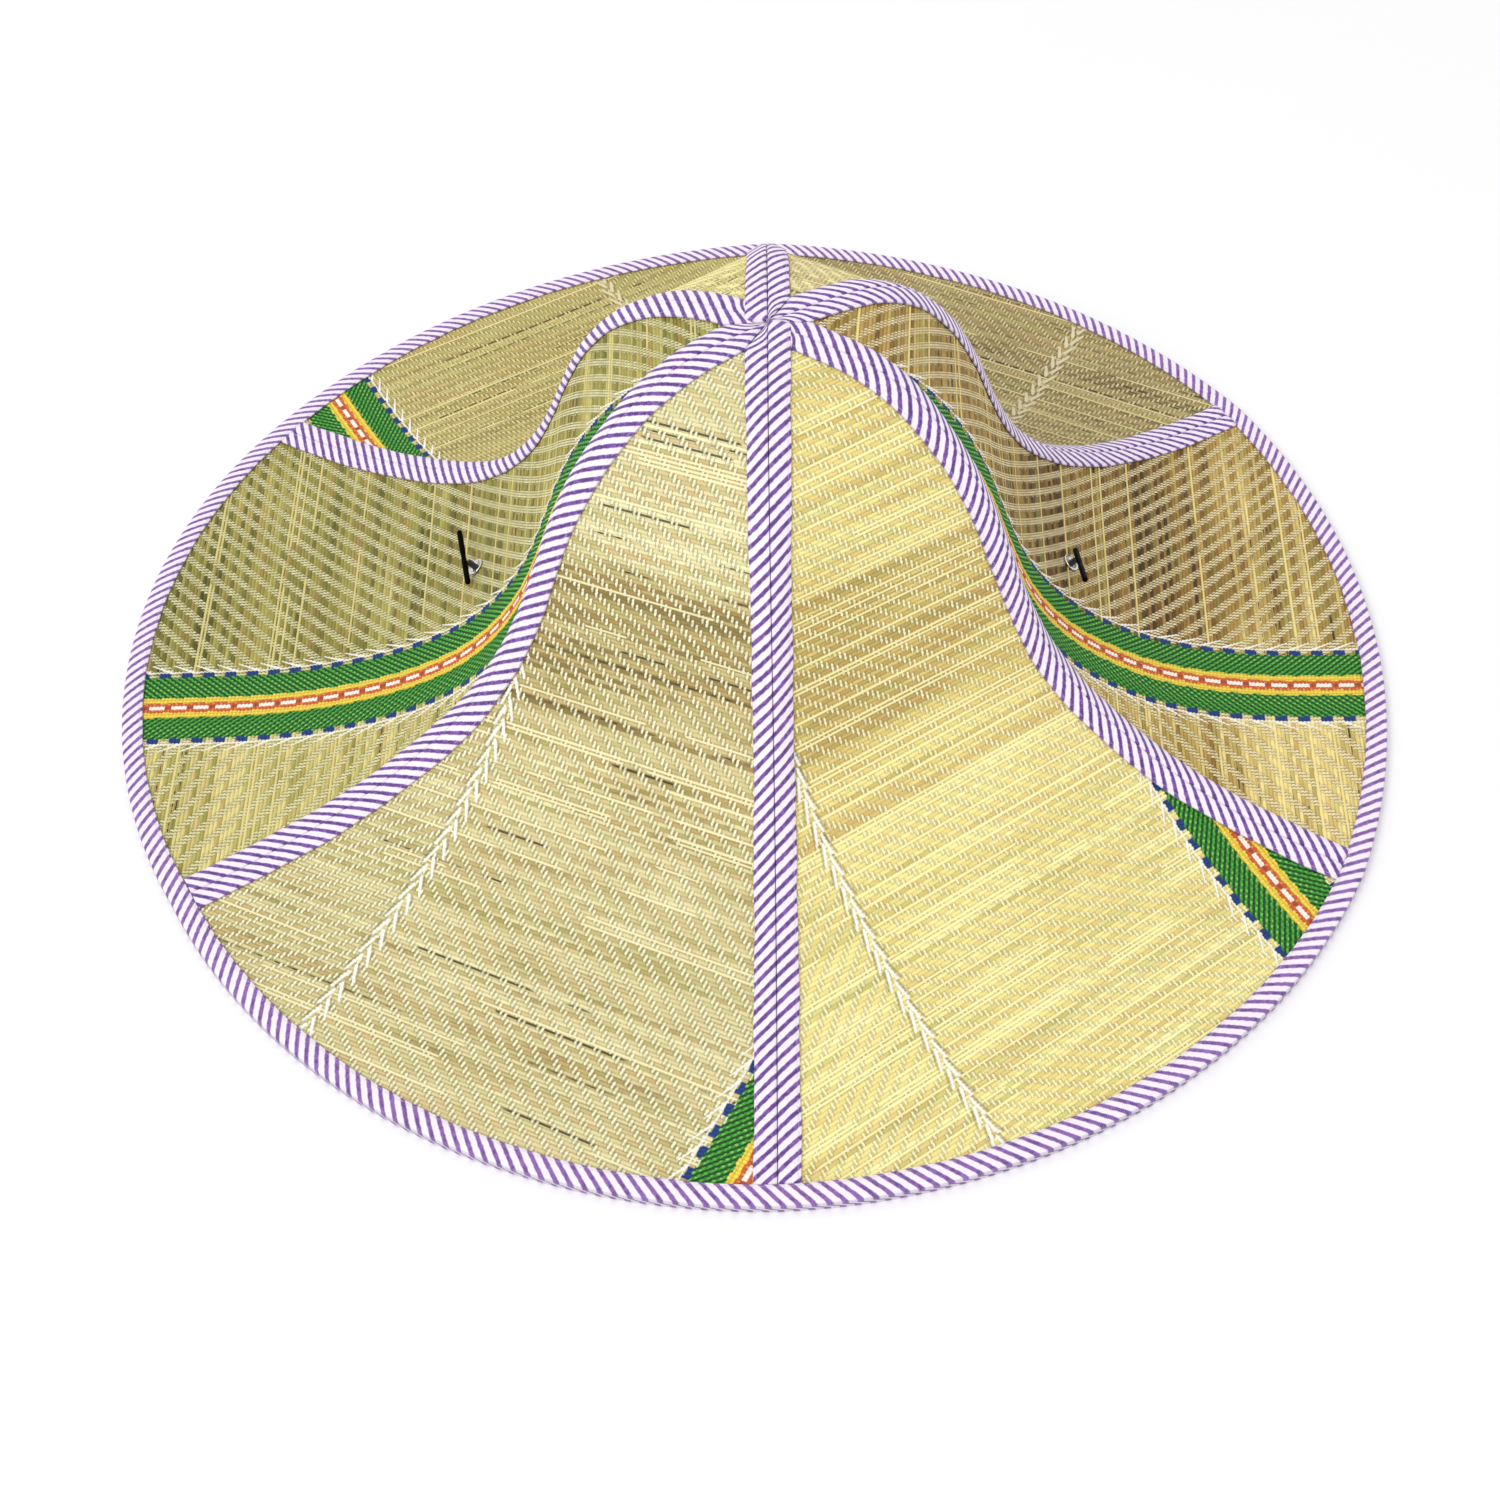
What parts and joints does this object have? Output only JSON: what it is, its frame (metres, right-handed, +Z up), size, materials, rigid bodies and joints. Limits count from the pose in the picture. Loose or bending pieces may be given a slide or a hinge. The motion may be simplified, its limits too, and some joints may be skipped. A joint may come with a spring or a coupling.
{
  "type": "straw hat",
  "caption": "Wide-brimmed sun hat of woven grass mats joined and edged with striped cloth tape, flaring from a rounded crown to a flat brim, with a black elastic chin cord.",
  "frame": {"origin": "centre of the hat's bounding box on the flat underside of the brim", "axes": "+Z up from the brim through the crown, -Y towards the front seam nearest to the viewer, +X to the viewer's right"},
  "size_m": [0.3974, 0.4096, 0.1226],
  "materials": {
    "woven_grass_front_right": "dry woven grass stems with cotton warp threads, matt to slightly glossy",
    "woven_grass_right": "dry woven grass stems with cotton warp threads, matt to slightly glossy",
    "woven_grass_back_right": "dry woven grass stems with cotton warp threads, matt to slightly glossy",
    "woven_grass_back_left": "dry woven grass stems with cotton warp threads, matt to slightly glossy",
    "woven_grass_left": "dry woven grass stems with cotton warp threads, matt to slightly glossy",
    "woven_grass_front_left": "dry woven grass stems with cotton warp threads, matt to slightly glossy",
    "striped_tape": "cotton bias tape, fine purple and white diagonal stripes, matt",
    "eyelet_metal": "bright nickel plated",
    "toggle_plastic": "black, satin",
    "elastic_cord": "black braided elastic, matt"
  },
  "bodies": {
    "root": {"mat_front_right": "woven_grass_front_right", "seam_tape_front_of_front_right": "striped_tape", "seam_tape_right_front_of_front_right": "striped_tape", "brim_tape_front_right": "striped_tape", "mat_right": "woven_grass_right", "seam_tape_right_front_of_right": "striped_tape", "seam_tape_right_back_of_right": "striped_tape", "brim_tape_right": "striped_tape", "mat_back_right": "woven_grass_back_right", "seam_tape_right_back_of_back_right": "striped_tape", "seam_tape_back_of_back_right": "striped_tape", "brim_tape_back_right": "striped_tape", "mat_back_left": "woven_grass_back_left", "seam_tape_back_of_back_left": "striped_tape", "seam_tape_left_back_of_back_left": "striped_tape", "brim_tape_back_left": "striped_tape", "mat_left": "woven_grass_left", "seam_tape_left_back_of_left": "striped_tape", "seam_tape_left_front_of_left": "striped_tape", "brim_tape_left": "striped_tape", "mat_front_left": "woven_grass_front_left", "seam_tape_left_front_of_front_left": "striped_tape", "seam_tape_front_of_front_left": "striped_tape", "brim_tape_front_left": "striped_tape", "eyelet_left": "eyelet_metal", "toggle_left": "toggle_plastic", "eyelet_right": "eyelet_metal", "toggle_right": "toggle_plastic", "chin_cord": "elastic_cord"}
  },
  "joints": []
}
